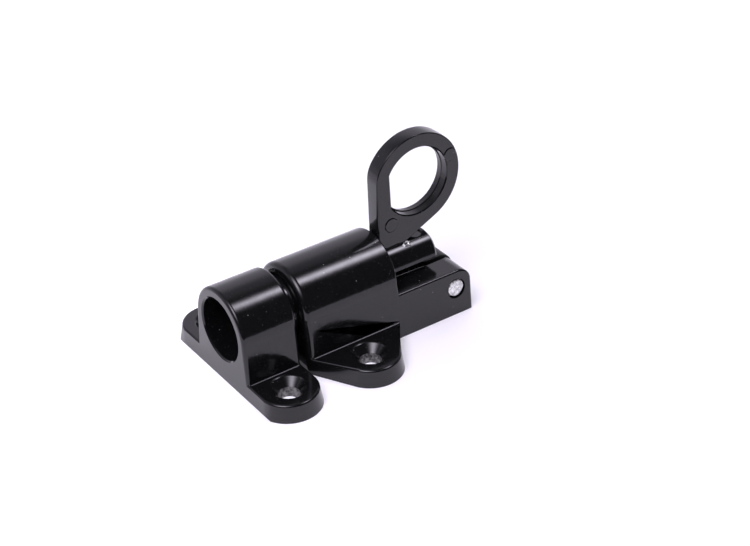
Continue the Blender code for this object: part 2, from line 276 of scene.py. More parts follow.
def report(piece):
    shape = bmesh.new()
    shape.from_mesh(piece.data)
    open_edges = sum(1 for edge in shape.edges if len(edge.link_faces) != 2)
    triangles = sum(len(face.verts) - 2 for face in shape.faces)
    print(f"{piece.name}: {triangles} triangles, {open_edges} open edges")
    shape.free()


# %% [markdown]
# ## The black finish
# The castings carry a thin black paint, baked on and glossy. It is almost free of colour of its own,
# so nearly everything that is seen in it is a reflection, and the finish lives in how that
# reflection is broken: a faint waviness of the cast skin, a finer orange peel, a gloss that changes
# a little from place to place, and a few specks of dust. All patterns are read from the object's
# own coordinates in metres, so their scales are counts of waves in a metre. A metal core with a
# clear coat would be the other way to make it, but this paint shows no metal under it.


# %% Helpers for nodes
def plug(socket, value):
    """Gives a socket its value, or links it where the value is another node's socket."""
    if isinstance(value, bpy.types.NodeSocket):
        socket.id_data.links.new(value, socket)
    else:
        socket.default_value = value


def feed(node, **inputs):
    """Sets some of a node's inputs by name."""
    for title, value in inputs.items():
        plug(node.inputs[title.replace("_", " ")], value)
    return node


def put(tree, kind, **inputs):
    """A new node with some inputs set."""
    return feed(tree.nodes.new(kind), **inputs)


def worked(tree, operation, values, kind="ShaderNodeVectorMath"):
    """The node for one step of arithmetic."""
    node = tree.nodes.new(kind)
    node.operation = operation
    for socket, value in zip(node.inputs, values):
        plug(socket, value)
    return node


def calculate(tree, operation, *values):
    """One sum or product of numbers and sockets."""
    return worked(tree, operation, values, "ShaderNodeMath").outputs[0]


# %% Helpers for materials
def material(name):
    finish = bpy.data.materials.new(name)
    finish.use_nodes = True
    tree = finish.node_tree
    shader = tree.nodes["Principled BSDF"]
    where = tree.nodes.new("ShaderNodeTexCoord")
    return finish, tree, shader, where.outputs["Object"]


def waves(tree, where, scale, detail, roughness=0.55):
    node = put(tree, "ShaderNodeTexNoise", Scale=scale, Detail=detail, Roughness=roughness)
    return feed(node, Vector=where).outputs["Fac"]


def spread(tree, value, low, high, start=0.0, end=1.0):
    node = put(tree, "ShaderNodeMapRange", Value=value, From_Min=low, From_Max=high)
    node.interpolation_type = "SMOOTHSTEP"
    return feed(node, To_Min=start, To_Max=end).outputs["Result"]


def between(tree, share, one, two):
    node = tree.nodes.new("ShaderNodeMix")
    node.data_type = "RGBA"
    feed(node, Factor=share)
    for socket, colour in ((node.inputs[6], one), (node.inputs[7], two)):
        plug(socket, (*colour, 1) if isinstance(colour, tuple) else colour)
    return node.outputs[2]


def bump(tree, shader, height, distance, strength=1.0, under=None):
    node = put(tree, "ShaderNodeBump", Strength=strength, Distance=distance, Height=height)
    if under:
        feed(node, Normal=under)
    feed(shader, Normal=node.outputs["Normal"])
    return node.outputs["Normal"]


# %% The black paint
def dust(tree, where, scale, size, rarity):
    """Round specks: one cell in a few holds one, and the rarity says how few."""
    cells = put(tree, "ShaderNodeTexVoronoi", Scale=scale, Randomness=1.0, Vector=where)
    lot = put(tree, "ShaderNodeSeparateColor", Color=cells.outputs["Color"])
    near = spread(tree, cells.outputs["Distance"], size * 0.5, size, 1.0, 0.0)
    return calculate(tree, "MULTIPLY", near, spread(tree, lot.outputs["Red"], rarity, rarity + 0.01))


def black_paint():
    finish, tree, shader, where = material("black_paint")
    skin = waves(tree, where, 260, 2)
    peel = waves(tree, where, 1500, 3)
    gloss = waves(tree, where, 420, 4)
    feed(shader, Roughness=spread(tree, gloss, 0.3, 0.7, 0.09, 0.14), IOR=1.5)
    coarse = dust(tree, where, 900, 0.12, 0.90)
    fine = dust(tree, where, 2300, 0.20, 0.80)
    specks = calculate(tree, "MAXIMUM", coarse, calculate(tree, "MULTIPLY", fine, 0.30))
    tone = between(tree, gloss, (0.0038, 0.0038, 0.0043), (0.0058, 0.0058, 0.0064))
    feed(shader, Base_Color=between(tree, specks, tone, (0.20, 0.20, 0.205)))
    wavy = bump(tree, shader, skin, 0.030 * MM, 0.6)
    bump(tree, shader, peel, 0.0045 * MM, 0.5, wavy)
    return finish


def dull_black(name, rough, depth, shine):
    """Black without gloss, for the block, and for paint that broke up where metal was punched."""
    finish, tree, shader, where = material(name)
    grain = waves(tree, where, 1600, 4)
    tone = between(tree, grain, (0.003, 0.003, 0.0033), (0.010, 0.010, 0.0105))
    feed(shader, Base_Color=tone, Specular_IOR_Level=shine)
    feed(shader, Roughness=spread(tree, grain, 0.3, 0.7, rough, rough + 0.15))
    bump(tree, shader, grain, depth, 0.7)
    return finish


PAINT = black_paint()
DULL = dull_black("dull_black", 0.45, 0.01 * MM, 0.4)
BROKEN = dull_black("broken_paint", 0.6, 0.05 * MM, 0.08)
print("made", PAINT.name, DULL.name, BROKEN.name)

# %% [markdown]
# Three finishes are bare metal. The cross pin's ends are turned aluminium, so fine rings run round
# the pin's axis. The lower walls of the screw holes are where the paint didn't reach: rough cast
# metal, grey and dull. The spring is drawn steel wire, with faint lines along the wire, and its tone
# is kept far darker than bare steel: painted shade for the channel it lies in.


# %% Bare metals
def turned_aluminium(centre_x, centre_z):
    """Bright turned metal whose rings run round a line along Y through the given place."""
    finish, tree, shader, where = material("turned_aluminium")
    move = put(tree, "ShaderNodeMapping", Vector=where, Scale=(1, 0, 1))
    feed(move, Location=(-centre_x, 0, -centre_z))
    reach = worked(tree, "LENGTH", [move.outputs["Vector"]])
    rings = tree.nodes.new("ShaderNodeTexNoise")
    rings.noise_dimensions = "1D"
    feed(rings, Detail=2, W=calculate(tree, "MULTIPLY", reach.outputs["Value"], 9000.0))
    cloud = spread(tree, waves(tree, where, 1100, 4, 0.7), 0.36, 0.62)
    tone = between(tree, cloud, (0.42, 0.42, 0.42), (0.95, 0.95, 0.94))
    feed(shader, Base_Color=tone, Roughness=spread(tree, cloud, 0.3, 0.7, 0.30, 0.48), Metallic=1.0)
    bump(tree, shader, rings.outputs["Fac"], 0.006 * MM, 0.5)
    return finish


def raw_metal(name, dark, light, rough_low, rough_high, depth, metallic):
    finish, tree, shader, where = material(name)
    coarse = waves(tree, where, 1100, 5, 0.7)
    fine = waves(tree, where, 3800, 3)
    tone = between(tree, spread(tree, coarse, 0.35, 0.65), dark, light)
    feed(shader, Base_Color=tone, Metallic=metallic)
    feed(shader, Roughness=spread(tree, fine, 0.3, 0.7, rough_low, rough_high))
    bump(tree, shader, calculate(tree, "ADD", coarse, fine), depth, 0.8)
    return finish


TURNED = turned_aluminium(*PIN_CENTRE)
CAST = raw_metal("raw_casting", (0.05, 0.05, 0.05), (0.34, 0.335, 0.33), 0.55, 0.8, 0.05 * MM, 0.7)
TORN = raw_metal("torn_aluminium", (0.35, 0.35, 0.35), (0.88, 0.88, 0.87), 0.25, 0.5, 0.04 * MM, 1.0)
# the spring wire's tone is kept far darker than bare steel, a painted shade for the channel it lies in
WIRE = raw_metal("spring_wire", (0.045, 0.045, 0.048), (0.11, 0.11, 0.115), 0.25, 0.4, 0.004 * MM, 1.0)
print("made", TURNED.name, CAST.name, TORN.name, WIRE.name)

# %% [markdown]
# ## What the two castings share
# Keeper and housing were drawn to one cross section, so that the bolt runs through both: a round
# arch whose legs spread a little towards the table, which lets the casting leave its mould. Its
# ends are rounded off by drawing the section in, step by step, along a quarter circle.


# %% The arch section
SPARE = 1.0 * MM  # how far below the table the castings are drawn, before that is trimmed off


def trim(piece):
    """Cuts off what lies below the table, so that the whole underside is one clean plane."""
    reach = 60 * MM
    corners = [(-reach, -reach), (reach, -reach), (reach, reach), (-reach, reach)]
    cut(piece, loft("spare_metal", [across_z(corners, z) for z in (-5 * SPARE, 0)]))


def leg(z):
    """Half the arch's width at a height below the bolt's axis."""
    return ARCH_RADIUS + BASE_SPREAD * (AXIS - z) / AXIS


def arch(inset, side_inset):
    """The arch's (y, z) outline, its round drawn in by inset and its legs by side_inset."""
    shoulder = leg(CHEEK_TOP) - side_inset
    foot = leg(-SPARE) - side_inset
    right = [(foot, -SPARE), (shoulder, CHEEK_TOP)]
    left = [(-shoulder, CHEEK_TOP), (-foot, -SPARE)]
    return right + arc((0, AXIS), ARCH_RADIUS - inset, 0, 180, 96) + left


def round_end(face, inward, radius, steps=8, legs_too=True):
    """Sections over an arch's rounded end, from its end face inwards along X."""
    sections = []
    for come, to_go in quarter(steps):
        inset = radius * to_go
        section = arch(inset, inset if legs_too else 0)
        sections.append(across_x(section, face + inward * radius * come))
    return sections


# %% Flanges and screw holes
def flange(name, outline, edge=0.5 * MM):
    """A flange whose side leans in towards the top and turns over in a small round edge.

    The outline is a rule: given how far it is to stand out, it returns the points.
    """
    sections = [across_z(outline(FLANGE_DRAFT), z) for z in (-2 * SPARE, 0)]
    lean = FLANGE_DRAFT / FLANGE_TOP
    for come, to_go in quarter(6):
        z = FLANGE_TOP - edge * to_go
        inset = edge * come - lean * (FLANGE_TOP - z)
        sections.append(across_z(outline(-inset), z))
    return loft(name, sections)


def screw_hole(name, x, y):
    """The cutter for a countersunk hole with a softened rim."""
    rim = 0.3 * MM
    slope = (SINK_RADIUS - HOLE_RADIUS) / SINK_DEPTH
    profile = [(HOLE_RADIUS - 0.55 * MM, -MM), (HOLE_RADIUS, FLANGE_TOP - SINK_DEPTH)]
    profile.append((SINK_RADIUS - rim * slope, FLANGE_TOP - rim))
    profile.append((SINK_RADIUS - rim * 0.35, FLANGE_TOP - rim * 0.5))
    profile.append((SINK_RADIUS + rim * 0.65, FLANGE_TOP + 0.02 * MM))
    profile.append((SINK_RADIUS + rim * 1.2, FLANGE_TOP + MM))
    return loft(name, [across_z(circle((x, y), radius), z) for radius, z in profile])


def bare_holes(piece, places):
    """Gives the lower walls of the screw holes, which the paint missed, the raw metal."""
    piece.data.materials.append(CAST)
    count = 0
    for face in piece.data.polygons:
        for x, y in places:
            reach = math.hypot(face.center.x - x, face.center.y - y)
            if reach < HOLE_RADIUS + 0.05 * MM and face.center.z < FLANGE_TOP - SINK_DEPTH:
                face.material_index = 1
                count += 1
    print(f"{piece.name}: {count} faces of bare casting in {len(places)} holes")


def bore_cutter(name, front, rear, rim, through):
    """A round cutter along the axis, flared by rim where it breaks out of a face."""
    steps = []
    for step in range(5):
        angle = math.pi / 2 * step / 4
        steps.append((front + rim * math.sin(angle), BORE_RADIUS + rim * (1 - math.sin(angle))))
    profile = [(front - MM, BORE_RADIUS + rim)] + steps
    if through:
        profile += [(front + rear - x, radius) for x, radius in reversed(steps)]
        profile.append((rear + MM, BORE_RADIUS + rim))
    else:
        profile.append((rear, BORE_RADIUS))
    return loft(name, [across_x(circle((0, AXIS), radius, 128), x) for x, radius in profile])


print(f"arch {leg(0) * 2000:.2f} mm wide at the table, {ARCH_RADIUS * 2000:.1f} mm at the axis")

# %% [markdown]
# ## The keeper
# The keeper is a short arch on a long flange with a countersunk hole at each end. The flange is one
# solid, the arch another, and the two are joined before the bore goes through both. Where they meet
# the real casting has a thin fillet, because a sharp inner corner would crack as the metal shrinks,
# so those edges are picked out by their place and rounded.

# %% Keeper
KEEPER_FRONT, KEEPER_REAR = keeper_low[0], keeper_high[0] - 0.75 * MM
KEEPER_MIDDLE = (KEEPER_FRONT + KEEPER_REAR) / 2
KEEPER_REACH = 16.1 * MM
KEEPER_HOLES = [(KEEPER_MIDDLE + 0.2 * MM, side * KEEPER_REACH) for side in (1, -1)]


def keeper_outline(stand_out):
    """The straight front stays where it is, and only the round ends and the rear stand out."""
    radius = (KEEPER_REAR - KEEPER_FRONT) / 2 + stand_out
    ends = arc((KEEPER_MIDDLE, KEEPER_REACH), radius, 0, 180, 48)
    ends += arc((KEEPER_MIDDLE, -KEEPER_REACH), radius, 180, 360, 48)
    front = KEEPER_FRONT + max(0, -stand_out)
    return [(max(x, front), y) for x, y in ends]


def make_keeper():
    sections = round_end(KEEPER_FRONT, 1, 0.9 * MM) + round_end(KEEPER_REAR, -1, 0.9 * MM)[::-1]
    piece = loft("keeper_casting", sections)
    join(piece, flange("keeper_flange", keeper_outline))
    trim(piece)
    root = leg(FLANGE_TOP) / MM
    soften(piece, 0.35 * MM, lambda x, y, z, hollow: hollow and 4.1 < z < 4.4 and abs(abs(y) - root) < 1.2)
    cut(piece, bore_cutter("keeper_bore", KEEPER_FRONT, KEEPER_REAR, 0.35 * MM, True))
    for x, y in KEEPER_HOLES:
        cut(piece, screw_hole("keeper_hole", x, y))
    return piece


keeper = make_keeper()
report(keeper)

# %% [markdown]
# ## The housing
# The housing holds the bolt. Its bore is blind: at the rear a 4 mm wall is left with a half round
# window that only the tail passes, which keeps the bolt from turning. Behind the wall two cheeks run
# on with a channel between them for the spring, and a pocket at its end for the block that the
# spring pushes against. The cross pin goes through cheeks and block. Arch, block and ears are
# joined first, and the bore, the window, the channel, the pocket and the holes are cut from them in
# the order in which a toolmaker would put the cores in.


# %% Housing outlines
def ear(side, stand_out):
    """One ear: straight from the arch's corners, round about its hole."""
    radius, reach = EAR_RADIUS + stand_out, EAR_REACH
    root = leg(FLANGE_TOP)
    rise, run = reach - root, -HOUSING_FRONT - 0.6 * MM
    lean = math.degrees(math.atan2(rise, run) + math.asin(radius / math.hypot(rise, run)))
    turn = arc((0, reach), radius, 90 - lean, 90 + lean, 48)
    inner = ARCH_RADIUS / 2
    outline = [(run, root), *turn, (-run, root), (-run, inner), (run, inner)]
    return [(x, side * y) for x, y in outline]


def block_outline(top, side_inset):
    """The block's (y, z) outline: legs that spread, and round edges along the top."""
    edge = 0.55 * MM
    half = leg(top) - side_inset
    right = [(leg(-SPARE) - side_inset, -SPARE)] + arc((half - edge, top - edge), edge, 0, 90, 6)
    return right + [(-y, z) for y, z in reversed(right)]


def cheek_block():
    """Sections of the block behind the arch, whose upper rear corner is rounded."""
    sections = [
        across_x(block_outline(CHEEK_TOP - 0.4 * MM, 0.4 * MM), HOUSING_REAR - 2 * MM),
        across_x(block_outline(CHEEK_TOP, 0.03 * MM), HOUSING_REAR - 0.02 * MM),
    ]
    end = 0.7 * MM
    for come, to_go in quarter(16):
        x = CHEEK_REAR - CHEEK_CORNER * to_go
        top = CHEEK_TOP - CHEEK_CORNER * come
        into_end = max(0, x - (CHEEK_REAR - end))
        inset = 0.03 * MM + end - math.sqrt(max(0, end**2 - into_end**2))
        sections.append(across_x(block_outline(top, inset), x))
    return sections


def half_round(radius, flat):
    start = math.degrees(math.asin((flat - AXIS) / radius))
    return arc((0, AXIS), radius, start, 180 - start, 64)


def flared(half, low):
    """A trough's (y, z) outline, flared where it breaks out of the cheeks' top in a round edge."""
    edge = 0.9 * MM
    turn = arc((half + edge, CHEEK_TOP - edge), edge, 180, 90, 6)
    right = [(half, low)] + turn + [(half + edge, CHEEK_TOP + 2.4 * MM)]
    return right + [(-y, z) for y, z in reversed(right)]


def channel_cutter():
    sections = []
    low = AXIS - BORE_RADIUS + 0.3 * MM  # the floor lies a little above the bore's lowest line
    wall = HOUSING_REAR - 5.0 * MM
    for x, width in ((wall, 5.3), (HOUSING_REAR, 5.3), (stop_low[0], 6.0)):
        sections.append(across_x(flared(width / 2 * MM, low), x))
    return loft("channel", sections)


def pocket_cutter():
    outline = flared(stop_high[1] + 0.2 * MM, stop_low[2] - GAP)
    span = (stop_low[0] - GAP, CHEEK_REAR + MM)
    return loft("pocket", [across_x(outline, x) for x in span])


# %% Housing
def make_housing():
    sections = round_end(HOUSING_FRONT, 1, 1.5 * MM)
    sections += round_end(HOUSING_REAR, -1, 0.5 * MM, 5, False)[::-1]
    piece = loft("housing_casting", sections)
    join(piece, loft("cheek_block", cheek_block()))
    for side in (1, -1):
        join(piece, flange("ear", lambda stand_out, side=side: ear(side, stand_out)))
    trim(piece)
    cut(piece, bore_cutter("housing_bore", HOUSING_FRONT, HOUSING_REAR - REAR_WALL, 0.35 * MM, False))
    window = half_round(TAIL_RADIUS + GAP, TAIL_FLAT - GAP)
    span = (HOUSING_REAR - 5 * MM, HOUSING_REAR + MM)
    cut(piece, loft("window", [across_x(window, x) for x in span]))
    cut(piece, channel_cutter())
    cut(piece, pocket_cutter())
    for x, y in EAR_HOLES:
        cut(piece, screw_hole("ear_hole", x, y))
    hole = circle(PIN_CENTRE, PIN_RADIUS + 0.26 * MM)
    cut(piece, loft("pin_hole", [across_y(hole, y) for y in (-13 * MM, 13 * MM)]))
    root = leg(FLANGE_TOP) / MM
    soften(piece, 0.35 * MM, lambda x, y, z, hollow: hollow and 4.1 < z < 4.4 and abs(abs(y) - root) < 1.6)
    return piece


housing = make_housing()
report(housing)

# %% [markdown]
# ## The bolt
# The bolt is one casting as well: a round nose, and behind it a tail that is the upper half of a
# round bar. A small spigot under the tail centres the spring. The slot for the ring's foot is cut
# through the tail only, and close, because on the real piece the foot is pressed in and the metal
# beside it is punched over to hold it.

# %% Bolt outlines
NOSE_RADIUS = bolt_high[2] - AXIS
NOSE_REAR = HOUSING_REAR - REAR_WALL - GAP - STROKE
NOSE_FRONT = bolt_low[0]
FOOT_REAR = RING_FRONT + 6.8 * MM
FOOT_BOTTOM = TAIL_TOP - 3.0 * MM
SLOPE = 25  # degrees, of the ring's straight lower edge
SPRING_AXIS = (spring_low[2] + spring_high[2]) / 2


def slope_height(x):
    """The height of the ring's straight lower edge, which leaves its round edge smoothly."""
    lean = math.radians(SLOPE)
    leave_x = RING_CENTRE[0] + RING_RADIUS * math.sin(lean)
    leave_z = RING_CENTRE[1] - RING_RADIUS * math.cos(lean)
    return leave_z - (leave_x - x) * math.tan(lean)


def foot_slot(gap):
    front, rear = RING_FRONT - GAP, FOOT_REAR + gap
    low, high = FOOT_BOTTOM - gap, TAIL_TOP + MM
    bend = slope_height(rear) - gap / math.cos(math.radians(SLOPE))
    end = rear + (high - bend) / math.tan(math.radians(SLOPE))
    return [(front, low), (front, high), (end, high), (rear, bend), (rear, low)]


# %% Bolt
def make_bolt():
    edge = 1.0 * MM
    nose = [(NOSE_FRONT + edge * come, NOSE_RADIUS - edge * to_go) for come, to_go in quarter(6)]
    nose += [(NOSE_REAR - 0.3 * MM, NOSE_RADIUS), (NOSE_REAR, NOSE_RADIUS - 0.3 * MM)]
    piece = loft("bolt_casting", [across_x(circle((0, AXIS), r, 128), x) for x, r in nose])
    full = half_round(TAIL_RADIUS, TAIL_FLAT)
    tail = [across_x(full, NOSE_REAR - MM), across_x(full, TAIL_REAR - 0.55 * MM)]
    tail.append(across_x(half_round(TAIL_RADIUS - 0.08 * MM, TAIL_FLAT), TAIL_REAR - 0.45 * MM))
    tail.append(across_x(half_round(TAIL_RADIUS - 0.5 * MM, TAIL_FLAT), TAIL_REAR))
    join(piece, loft("tail", tail))
    spigot = [(NOSE_REAR - MM, 1.1), (NOSE_REAR + 2.7 * MM, 1.1), (NOSE_REAR + 3 * MM, 0.8)]
    join(piece, loft("spigot", [across_x(circle((0, SPRING_AXIS), r * MM, 32), x) for x, r in spigot]))
    half = RING_HALF + 0.07 * MM
    cut(piece, loft("slot", [across_y(foot_slot(0.08 * MM), y) for y in (-half, half)]))
    pad = (TAIL_REAR - 3.1 * MM, 0)
    rim = [(1.82, -0.4), (1.86, -0.36), (1.9, 0.1), (2.0, 1.0)]
    cut(piece, loft("pad", [across_z(circle(pad, r * MM), TAIL_TOP + z * MM) for r, z in rim]))
    flat = TAIL_FLAT / MM

    def along_flat(x, y, z, hollow):
        return not hollow and x > 9 and abs(z - flat) < 0.02 and abs(y) > 4

    soften(piece, 0.3 * MM, along_flat)
    return piece


bolt = make_bolt()
report(bolt)

# %% [markdown]
# ## The pull ring
# The ring is cast flat, in a mould that parts along its middle. So its walls lean both ways from
# the middle plane, its edges are a little round, and a thin line of flash is left in the hole where
# the two halves of the mould met. Two round marks stand up on one face, where the ejector pins
# pushed it out, each in a shallow moat. A row of outlines across the thickness gives the lean and
# the round edges at once.


# %% Ring outlines
def ring_outline():
    """Straight front, round top, straight sloping lower edge, and the foot."""
    turn = arc(RING_CENTRE, RING_RADIUS, BLEND_END, -90 + SLOPE, 160)
    bend = (FOOT_REAR, slope_height(FOOT_REAR))
    front = [(RING_FRONT, FOOT_BOTTOM + z * MM) for z in (0, 5.8, 8, 10.5, 13, 15.5)]
    return [*front, *blend_points(), *turn, bend, (FOOT_REAR, FOOT_BOTTOM)]


BLEND_END = 146  # degrees, where on the round top the soft turn ends


def blend_points():
    """The soft turn from the straight front into the round top, as a curve of three points."""
    end = math.radians(BLEND_END)
    last_x = RING_CENTRE[0] + RING_RADIUS * math.cos(end)
    last = Vector((last_x, RING_CENTRE[1] + RING_RADIUS * math.sin(end)))
    slope = -1 / math.tan(end)
    middle = Vector((RING_FRONT, last.y + (RING_FRONT - last.x) * slope))
    first = Vector((RING_FRONT, 2 * middle.y - last.y - 0.4 * MM))
    points = []
    for step in range(12):
        share = step / 12
        points.append(tuple(first * (1 - share) ** 2 + middle * 2 * share * (1 - share) + last * share**2))
    return points


def finger_outline():
    """A circle with a straight front side, which leans a little towards the ring's front."""
    upper = math.degrees(math.acos((RING_CENTRE[0] - 16.66 * MM) / FINGER_RADIUS))
    lower = math.degrees(math.acos((RING_CENTRE[0] - 17.01 * MM) / FINGER_RADIUS))
    return arc(RING_CENTRE, FINGER_RADIUS, 180 - upper, lower - 180, 128)


def edge_width(x, z):
    """How wide the round edge is at a place on the outline: wider down the front."""
    least, more = 0.22, 0.5
    if x > RING_FRONT + 0.6 * MM or z < FOOT_BOTTOM + 1 * MM:
        return least * MM
    share = min(1, max(0, (RING_CENTRE[1] + 3 * MM - z) / (15 * MM)))
    return (least + more * share) * MM


def plate_sections(outline, half, draft):
    """Sections across a plate whose edge leans both ways from its middle plane."""
    one_in = grown(outline, -MM)
    pairs = [(Vector(here), Vector(inner) - Vector(here)) for here, inner in zip(outline, one_in)]
    widths = [edge_width(x, z) for x, z in outline]

    def section(come, to_go, side):
        points = []
        for (here, inwards), width in zip(pairs, widths):
            y = half - width * come
            inset = draft * y / half + width * to_go
            place = here + inwards * (inset / MM)
            points.append(Vector((place.x, side * y, place.y)))
        return points

    near = [section(come, to_go, -1) for come, to_go in quarter(6)]
    far = [section(come, to_go, 1) for come, to_go in quarter(6)]
    return near + [across_y(outline, 0)] + far[::-1]


# %% Ring
# Each mark: its centre along X and Z, and its radius.
EJECTOR_MARKS = [(16.73 * MM, 24.53 * MM, 1.75 * MM), (33.5 * MM, 37.35 * MM, 1.65 * MM)]


def make_ring():
    piece = loft("ring_casting", plate_sections(ring_outline(), RING_HALF, 0.10 * MM))
    hole = finger_outline()
    rim = 0.28
    rows = [(RING_HALF + MM, rim)]
    for step in range(6):
        angle = math.pi / 2 * step / 5
        rows.append((RING_HALF - rim * MM * math.sin(angle), rim * (1 - math.sin(angle))))
    rows += [(0.20 * MM, -0.16), (0.09 * MM, -0.36)]
    rows += [(-y, grow) for y, grow in reversed(rows)]
    cut(piece, loft("finger_hole", [across_y(grown(hole, g * MM), y) for y, g in rows]))
    for x, z, radius in EJECTOR_MARKS:
        moat = [(-RING_HALF - MM, radius + 0.16 * MM), (-RING_HALF + 0.16 * MM, radius + 0.1 * MM)]
        cut(piece, loft("moat", [across_y(circle((x, z), r, 48), y) for y, r in moat]))
        disc = [(-RING_HALF + 0.4 * MM, radius)]
        disc += [(-RING_HALF - 0.10 * MM, radius), (-RING_HALF - 0.20 * MM, radius - 0.14 * MM)]
        join(piece, loft("ejector_mark", [across_y(circle((x, z), r, 48), y) for y, r in disc]))
    return piece


ring = make_ring()
report(ring)

# %% [markdown]
# ## The cross pin
# A short turned pin of bare aluminium is pressed through both cheeks and sits a little below their
# faces. The ends were faced on a lathe, so the edge is broken and the middle is very slightly
# dished. The skin is stretched over circles along Y, which is what a lathe does.


# %% Pin
# The turned end as pairs in mm: how deep the skin lies, and how far out from the pin's axis.
PIN_END = [(0.06, 0.15), (0.03, 0.9), (0.0, 1.6), (0.03, 1.85), (0.16, 2.12), (0.45, 2.25)]


def make_pin():
    near = [(depth * MM - pin_high[1], radius / PIN_END[-1][1] * PIN_RADIUS) for depth, radius in PIN_END]
    profile = near + [(-y, radius) for y, radius in reversed(near)]
    return loft("pin_turned", [across_y(circle(PIN_CENTRE, radius, 64), y) for y, radius in profile])


pin = make_pin()
report(pin)

# %% [markdown]
# ## The spring stop
# A block lies in the pocket between the cheeks, with its rear corner rounded like theirs, and the
# cross pin holds it. It is one outline carried across the width, with its edges broken, and black
# all over without the castings' gloss.


# %% Spring stop
def make_stop():
    rear, top, low, front = stop_high[0], stop_high[2], stop_low[2], stop_low[0]
    turn = arc((rear - CHEEK_CORNER, top - CHEEK_CORNER), CHEEK_CORNER, 0, 90, 24)
    outline = [(front, low), (rear, low), *turn, (front, top)]
    edge = 0.3 * MM
    rows = [(stop_high[1] - edge * come, edge * to_go) for come, to_go in quarter(4)]
    rows += [(-y, inset) for y, inset in reversed(rows)]
    piece = loft("stop_block", [across_y(grown(outline, -inset), y) for y, inset in rows])
    hole = circle(PIN_CENTRE, PIN_RADIUS + 0.12 * MM)
    cut(piece, loft("stop_hole", [across_y(hole, y) for y in (-5 * MM, 5 * MM)]))
    return piece


stop = make_stop()
report(stop)

# %% [markdown]
# ## The spring
# The spring lies in the channel between the bolt's shoulder and the spring stop. It repeats one rule,
# so Geometry Nodes make it: a spiral gives the turns, its points are moved along the axis so that
# the end turns lie close and the others stand apart, and a circle is swept along it. Wire size, coil
# size, turns and length are the tree's inputs, and another spring needs only other numbers.


# %% Trees that make shapes
def node_tree(name, inputs):
    tree = bpy.data.node_groups.new(name, "GeometryNodeTree")
    tree.interface.new_socket("Geometry", in_out="OUTPUT", socket_type="NodeSocketGeometry")
    tree.interface.new_socket("Geometry", in_out="INPUT", socket_type="NodeSocketGeometry")
    for title, kind in inputs:
        tree.interface.new_socket(title, in_out="INPUT", socket_type="NodeSocket" + kind)
    return tree, tree.nodes.new("NodeGroupInput").outputs, tree.nodes.new("NodeGroupOutput").inputs


def grow_from_nodes(name, tree, values, start=None):
    """Runs a tree on an object, keeps the result as a plain mesh and returns the piece."""
    piece = new_object(name, start or bpy.data.meshes.new(name))
    step = piece.modifiers.new("nodes", "NODES")
    step.node_group = tree
    for item in tree.interface.items_tree:
        if item.in_out == "INPUT" and item.name in values:
            step[item.identifier] = values[item.name]
    settle(piece)
    return piece


def sweep(tree, result, profile, finish, **along):
    """The end of both trees: a profile swept along a curve, closed, smooth and with its finish."""
    swept = put(tree, "GeometryNodeCurveToMesh", Fill_Caps=True, **along)
    feed(swept, Profile_Curve=profile.outputs["Curve"])
    shaded = put(tree, "GeometryNodeSetShadeSmooth", Geometry=swept.outputs["Mesh"])
    real = put(tree, "GeometryNodeRealizeInstances", Geometry=shaded.outputs["Geometry"])
    done = put(tree, "GeometryNodeSetMaterial", Geometry=real.outputs["Geometry"], Material=finish)
    tree.links.new(done.outputs["Geometry"], result["Geometry"])


# %% The spring's tree
def spring_tree():
    inputs = [
        ("Wire radius", "Float"),
        ("Coil radius", "Float"),
        ("Turns", "Float"),
        ("Closed turns", "Float"),
        ("Length", "Float"),
        ("Front", "Vector"),
        ("Wire finish", "Material"),
    ]
    tree, given, result = node_tree("compression_spring", inputs)
    spiral = put(tree, "GeometryNodeCurveSpiral", Resolution=28, Rotations=given["Turns"], Height=0.0)
    feed(spiral, Start_Radius=given["Coil radius"], End_Radius=given["Coil radius"])
    along = tree.nodes.new("GeometryNodeSplineParameter").outputs["Factor"]
    closed_share = calculate(tree, "DIVIDE", given["Closed turns"], given["Turns"])
    open_end = calculate(tree, "SUBTRACT", 1.0, closed_share)
    wire = calculate(tree, "MULTIPLY", given["Wire radius"], 2.0)
    closed_pitch = calculate(tree, "MULTIPLY", wire, 1.02)
    closed_rise = calculate(tree, "MULTIPLY", closed_pitch, given["Closed turns"])
    whole = calculate(tree, "SUBTRACT", given["Length"], wire)
    open_rise = calculate(tree, "SUBTRACT", whole, calculate(tree, "MULTIPLY", closed_rise, 2.0))
    rises = []
    spans = (
        (0.0, closed_share, closed_rise),
        (closed_share, open_end, open_rise),
        (open_end, 1.0, closed_rise),
    )
    for low, high, rise in spans:
        ramp = put(tree, "ShaderNodeMapRange", Value=along, From_Min=low, From_Max=high)
        rises.append(feed(ramp, To_Min=0.0, To_Max=rise).outputs["Result"])
    height = calculate(tree, "ADD", calculate(tree, "ADD", rises[0], rises[1]), rises[2])
    height = calculate(tree, "ADD", height, given["Wire radius"])
    place = put(tree, "GeometryNodeInputPosition").outputs["Position"]
    parts = tree.nodes.new("ShaderNodeSeparateXYZ")
    plug(parts.inputs[0], place)
    laid = put(tree, "ShaderNodeCombineXYZ", X=height, Y=parts.outputs["X"], Z=parts.outputs["Y"])
    moved = worked(tree, "ADD", [laid.outputs[0], given["Front"]])
    bent = put(tree, "GeometryNodeSetPosition", Geometry=spiral.outputs["Curve"], Position=moved.outputs[0])
    profile = put(tree, "GeometryNodeCurvePrimitiveCircle", Resolution=12, Radius=given["Wire radius"])
    sweep(tree, result, profile, given["Wire finish"], Curve=bent.outputs["Geometry"])
    return tree


# %% Wind the spring
def outward(piece):
    """Merges doubled points and turns every face outwards."""
    shape = bmesh.new()
    shape.from_mesh(piece.data)
    bmesh.ops.remove_doubles(shape, verts=shape.verts, dist=1e-7)
    bmesh.ops.recalc_face_normals(shape, faces=shape.faces)
    shape.to_mesh(piece.data)
    shape.free()


